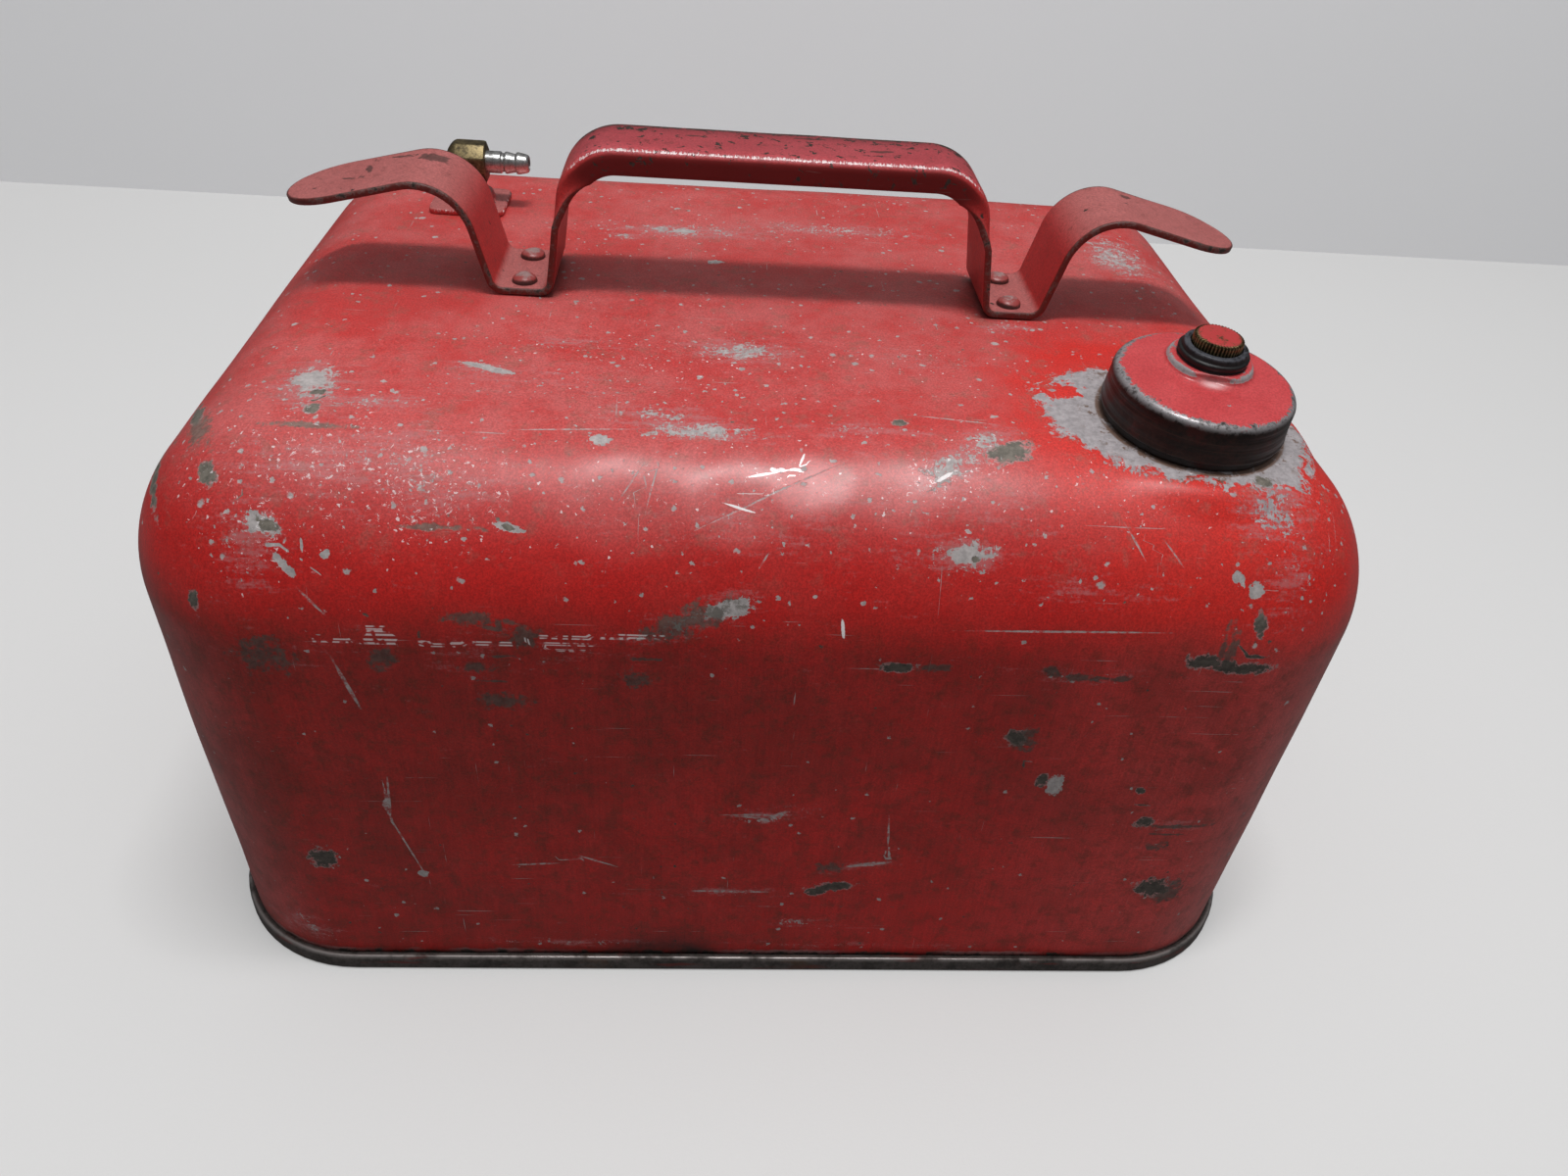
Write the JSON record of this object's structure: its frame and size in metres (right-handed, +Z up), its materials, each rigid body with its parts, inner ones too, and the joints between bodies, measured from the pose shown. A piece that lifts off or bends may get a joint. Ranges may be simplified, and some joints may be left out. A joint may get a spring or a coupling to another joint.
{
  "type": "portable fuel tank",
  "caption": "Low drawn-steel fuel can with rounded shoulders, strap handle with hose-wrap wings, vented screw cap and hose outlet.",
  "frame": {"origin": "middle of the footprint, on the surface that the tank stands on", "axes": "+Z up, +X along the tank's length, -Y is the front, the long side nearest the filler cap"},
  "size_m": [0.413, 0.311, 0.274],
  "materials": {
    "enamel_red": "worn satin enamel over grey primer, chipped and scuffed",
    "enamel_handle": "dull worn enamel, bare dark steel along the edges",
    "enamel_cap": "worn enamel, dark stained skirt",
    "seam_steel": "dark oxidised steel with paint remnants",
    "bare_steel": "dull bare steel",
    "gasket_cork": "fuel stained cork",
    "black_rubber": "matt black",
    "brass": "tarnished brass",
    "plated_steel": "bright plating"
  },
  "bodies": {
    "tank": {"tank_shell": "enamel_red", "bottom_pan": "seam_steel", "carry_handle": "enamel_handle", "handle_rivet_left_front": "enamel_handle", "handle_rivet_left_rear": "enamel_handle", "handle_rivet_right_front": "enamel_handle", "handle_rivet_right_rear": "enamel_handle", "backing_plate_left": "bare_steel", "backing_plate_right": "bare_steel", "filler_neck": "bare_steel", "outlet_flange": "enamel_red", "outlet_elbow": "brass", "hose_nipple": "plated_steel", "pickup_tube": "plated_steel", "pickup_screen": "brass"},
    "gasket": {"cap_gasket": "gasket_cork"},
    "cap": {"filler_cap": "enamel_cap", "vent_collar": "black_rubber", "vent_collar_nut": "bare_steel"},
    "vent_washer": {"vent_seal": "black_rubber"},
    "vent": {"vent_screw": "brass", "vent_clip": "plated_steel"}
  },
  "joints": [
    {"name": "cap_lift", "type": "slide", "parent": "tank", "child": "gasket", "axis": [0.0229, -0.0758, 0.9969], "range_m": [0, 0.015]},
    {"name": "cap_turn", "type": "hinge", "parent": "gasket", "child": "cap", "pos_m": [0.1378, -0.0887, 0.2192], "axis": [0.0229, -0.0758, 0.9969], "range_deg": [0, 1080]},
    {"name": "vent_rise", "type": "slide", "parent": "cap", "child": "vent_washer", "axis": [0.0229, -0.0758, 0.9969], "range_m": [0, 0.00313]},
    {"name": "vent_turn", "type": "hinge", "parent": "vent_washer", "child": "vent", "pos_m": [0.14081, -0.08172, 0.21966], "axis": [0.0229, -0.0758, 0.9969], "range_deg": [0, 900]}
  ],
  "couplings": [
    {"joint": "cap_lift", "follows": "cap_turn", "m_per_rad": 0.00079577},
    {"joint": "vent_rise", "follows": "vent_turn", "m_per_rad": 0.00019894}
  ]
}
